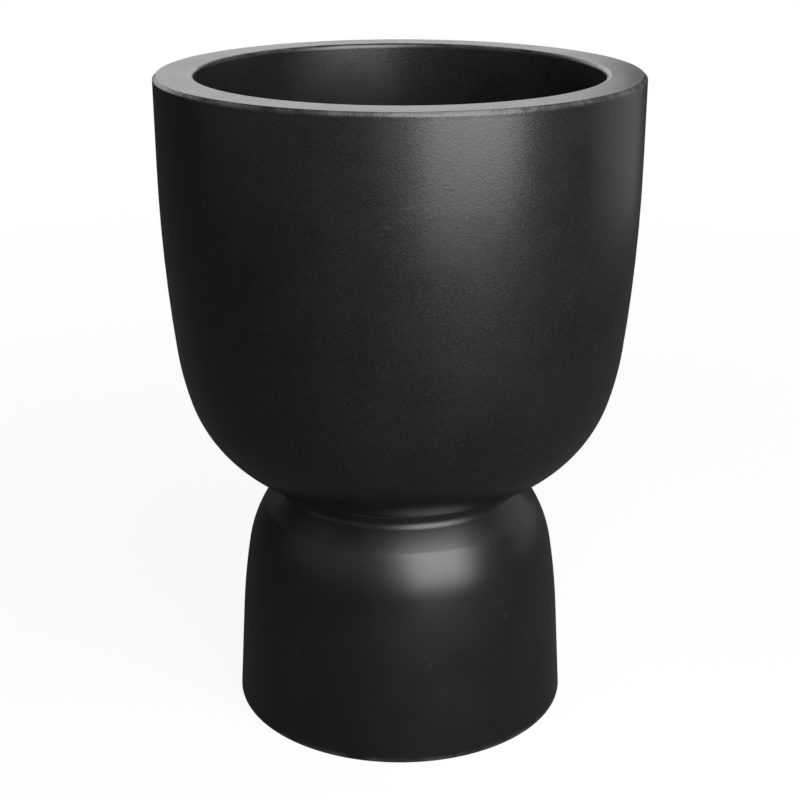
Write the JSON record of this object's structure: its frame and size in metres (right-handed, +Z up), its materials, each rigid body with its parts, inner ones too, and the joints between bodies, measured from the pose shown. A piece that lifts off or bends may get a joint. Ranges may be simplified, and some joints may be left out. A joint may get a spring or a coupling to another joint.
{
  "type": "urn planter",
  "caption": "Tall round urn planter: a deep double-walled bowl with a wide flat rim, on a domed, open-bottomed foot with a narrow neck, and a screw-out drain plug.",
  "frame": {"origin": "centre of the foot's bottom ring, on the floor", "axes": "+Z up along the axis of both mouldings"},
  "size_m": [0.4, 0.3998, 0.56],
  "materials": {
    "moulded_black": "satin black rotationally moulded polyethylene with a fine grain",
    "fitting_plastic": "dark grey injection-moulded plastic, fine satin",
    "seal_rubber": "matt black rubber",
    "stainless": "plain stainless steel, satin",
    "brass": "machined brass, dull"
  },
  "bodies": {
    "planter": {"bowl": "moulded_black", "foot": "moulded_black", "insert_nuts": "brass", "hex_screws": "stainless", "flat_washers": "stainless", "drain_bush": "fitting_plastic", "bush_gasket": "seal_rubber", "bush_nut": "fitting_plastic"},
    "plug_seal": {"plug_ring": "seal_rubber"},
    "plug": {"drain_plug": "fitting_plastic"}
  },
  "joints": [
    {"name": "plug_lift", "type": "slide", "parent": "planter", "child": "plug_seal", "axis": [0, 0, 1], "range_m": [0, 0.01201]},
    {"name": "plug_turn", "type": "hinge", "parent": "plug_seal", "child": "plug", "pos_m": [0, 0, 0.2235], "axis": [0, 0, 1], "range_deg": [0, 1440]}
  ],
  "couplings": [
    {"joint": "plug_lift", "follows": "plug_turn", "m_per_rad": 0.00047746}
  ]
}
